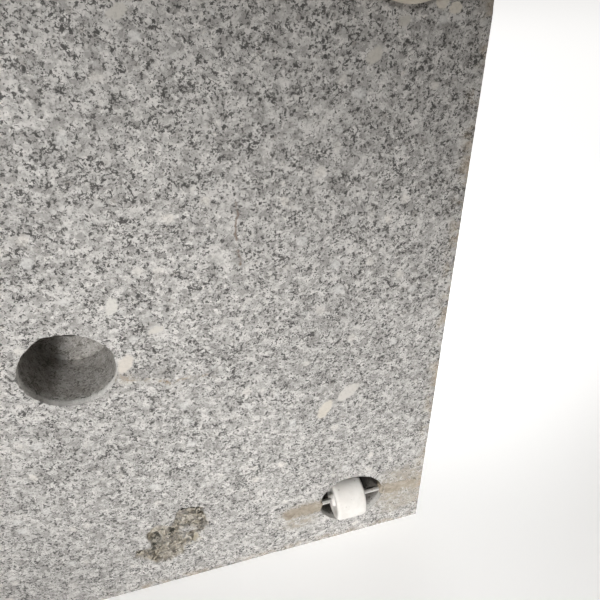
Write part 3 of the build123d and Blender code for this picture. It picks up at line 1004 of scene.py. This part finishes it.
def nylon():
    N = Net("worn_white_nylon")
    P = N.p
    a = N.noise(P, 85, 4, 0.62)
    b = N.noise(N.vec("MULTIPLY", P, (3.2, 1, 1)), 260, 4, 0.7)
    col = N.mix(N.range(a, 0.36, 0.66), (0.645, 0.625, 0.595), (0.720, 0.700, 0.672))
    # mortar-coloured stains that sit in bands round the tread
    s = N.mul(N.range(N.noise(N.vec("MULTIPLY", P, (0.8, 1, 1)), 120, 4, 0.68), 0.52, 0.70), N.range(b, 0.42, 0.62))
    col = N.mix(N.mul(s, 0.5), col, (0.50, 0.435, 0.345))
    wob = N.vec("SUBTRACT", N.noise(P, 500, 2, 0.6, True), (0.5, 0.5, 0.5))
    d, c = N.voronoi(N.vec("ADD", P, N.vec("SCALE", wob, scale=0.0012)), 430)
    sp = N.mul(N.math("GREATER_THAN", c[0], 0.90), N.range(d, 0.14, 0.34, 1, 0))
    col = N.mix(N.mul(sp, N.range(c[1], 0, 1, 0.25, 0.8, False)), col, (0.235, 0.195, 0.145))
    sides = []
    # grey grime and painted shade on the end faces
    nx, ny, nz = N.sep(N.geo.outputs["Normal"])
    end_face_grime_and_shade = N.range(N.math("ABSOLUTE", nx), 0.80, 0.97)
    col = N.mix(N.mul(end_face_grime_and_shade, N.range(N.noise(P, 210, 3, 0.6), 0.38, 0.66, 0.10, 0.62)), col, (0.40, 0.385, 0.36))
    scr = N.noise(N.vec("MULTIPLY", P, (7, 1, 1)), 420, 3, 0.6)
    h = N.add(N.mul(scr, 0.6), N.noise(P, 700, 3, 0.6))
    return N.set(Base_Color=col, Roughness=N.range(N.noise(P, 240, 3, 0.6), 0.35, 0.65, 0.36, 0.52, False), Normal=N.bump(h, 0.22, 0.00022),
                 Subsurface_Weight=0.12, Subsurface_Radius=(0.0022, 0.0019, 0.0016), Subsurface_Scale=1.0,
                 Specular_IOR_Level=0.5)


def steel():
    N = Net("drawn_steel_rod")
    P = N.p
    along = N.noise(N.vec("MULTIPLY", P, (0.06, 1, 1)), 1500, 3, 0.6)
    a = N.noise(P, 330, 4, 0.65)
    col = N.mix(N.range(along, 0.35, 0.65), (0.62, 0.61, 0.59), (0.84, 0.83, 0.81))
    stain = N.range(a, 0.55, 0.70, 0, 0.6)
    col = N.mix(stain, col, (0.36, 0.28, 0.19))
    metal = N.range(stain, 0, 0.6, 1.0, 0.75, False)
    rough = N.add(N.range(along, 0.3, 0.7, 0.24, 0.36, False), N.mul(stain, 0.3))
    return N.set(Base_Color=col, Metallic=metal, Roughness=rough, Normal=N.bump(N.add(along, N.mul(a, 0.3)), 0.22, 0.00012))


def pad_mat():
    N = Net("cream_glide_pad")
    P = N.p
    a = N.noise(P, 60, 4, 0.6)
    col = N.mix(N.range(a, 0.35, 0.66), (0.50, 0.445, 0.375), (0.585, 0.530, 0.455))
    scratch = N.noise(N.vec("MULTIPLY", P, (1, 1, 7)), 420, 3, 0.62)
    x, y, z = N.sep(P)
    front = N.range(y, CAD_LO.y + 0.2 * MM, CAD_LO.y + 1.4 * MM, 1, 0)
    col = N.mix(N.mul(N.mul(front, N.range(scratch, 0.50, 0.66)), 0.42), col, (0.40, 0.355, 0.295))
    d, c = N.voronoi(P, 480)
    sp = N.mul(N.math("GREATER_THAN", c[0], 0.94), N.range(d, 0.15, 0.35, 1, 0))
    col = N.mix(N.mul(sp, 0.6), col, (0.33, 0.28, 0.21))
    # dust and painted shade towards the foot against the stone
    dust_and_painted_shade = N.range(y, FACE - 3.0 * MM, FACE, 0, 0.5)
    col = N.mix(dust_and_painted_shade, col, (0.40, 0.345, 0.265))
    h = N.add(N.mul(scratch, 0.8), N.noise(P, 520, 4, 0.6))
    return N.set(Base_Color=col, Roughness=N.range(scratch, 0.35, 0.65, 0.42, 0.62, False), Normal=N.bump(h, 0.3, 0.00025),
                 Specular_IOR_Level=0.45)


def assign(ob, mat):
    ob.data.materials.clear()
    ob.data.materials.append(mat)


assign(slab, granite())
M = mortar_mat()
for o in mortar:
    assign(o, M)
M = nylon()
for o in rollers:
    assign(o, M)
M = steel()
for o in axles:
    assign(o, M)
M = pad_mat()
for o in pads:
    assign(o, M)

# ------------------------------------------------------------ stage, light, camera
bpy.ops.mesh.primitive_plane_add(size=14, location=(0, 2.0, -0.0002))
floor = bpy.context.object
floor.name = "floor"
# the floor glows, more behind the slab than in front: painted light that keeps it white and lights the stone from
# below and behind
N = Net("glowing_floor")
fy = N.sep(N.geo.outputs["Position"])[1]
assign(floor, N.set(Base_Color=(0.92, 0.92, 0.92), Roughness=0.9, Emission_Color=(1, 1, 1, 1),
                    Emission_Strength=N.add(N.range(fy, -0.55, -0.15, GLOW_FAR, GLOW_NEAR),
                                            N.range(fy, -0.10, 0.22, 0.0, GLOW_BEHIND - GLOW_NEAR))))
floor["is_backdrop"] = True

world = bpy.data.worlds.new("studio")
scene.world = world
world.use_nodes = True
bg = world.node_tree.nodes["Background"]
bg.inputs[0].default_value = (1.0, 0.955, 0.895, 1)
bg.inputs[1].default_value = WORLD


def area(name, at, aim, size, watts, spread=180, colour=(1, 1, 1), roll=0.0):
    L = bpy.data.lights.new(name, "AREA")
    L.energy, L.spread, L.color = watts, math.radians(spread), colour
    L.shape, L.size, L.size_y = "RECTANGLE", size[0], size[1]
    ob = bpy.data.objects.new(name, L)
    scene.collection.objects.link(ob)
    ob.location = at
    ob.rotation_mode = "QUATERNION"
    q = (Vector(aim) - Vector(at)).to_track_quat("-Z", "Y")
    from mathutils import Quaternion
    ob.rotation_quaternion = q @ Quaternion((0, 0, 1), math.radians(roll))
    return ob


aim = Vector((-0.065, FACE, 0.230))
area("key", aim + Vector((-0.40, -0.88, 0.42)).normalized() * 1.25, aim, (1.05, 0.42), KEY_W, KEY_SPREAD, (1.0, 1.0, 0.995), KEY_ROLL)
area("fill_back", (0.6, 1.6, 1.3), (0, 0, 0.2), (1.4, 1.4), 6.0)
area("top", (0.1, 0.5, 1.9), (0, 0.1, 0), (1.2, 1.2), 2.0)

cam_data = bpy.data.cameras.new("camera")
cam = bpy.data.objects.new("camera", cam_data)
scene.collection.objects.link(cam)
right = Vector((0.9616552, -0.2732638, -0.0233721))
up = Vector((0.1803301, 0.5657920, 0.8045872))
back = Vector((-0.2066408, -0.7779501, 0.5933744))
at = Vector((225.0 - 164.579, FACE / MM - 261.760, 443.667)) * MM
m = Matrix.Identity(4)
for k, v in enumerate((right, up, back)):
    for j in range(3):
        m[j][k] = v[j]
m.translation = at
cam.matrix_world = m
cam_data.sensor_width = 36.0
cam_data.lens = 597.948 / 600 * 36.0
cam_data.clip_start = 0.01
cam_data.clip_end = 50
scene.camera = cam

lo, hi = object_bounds()
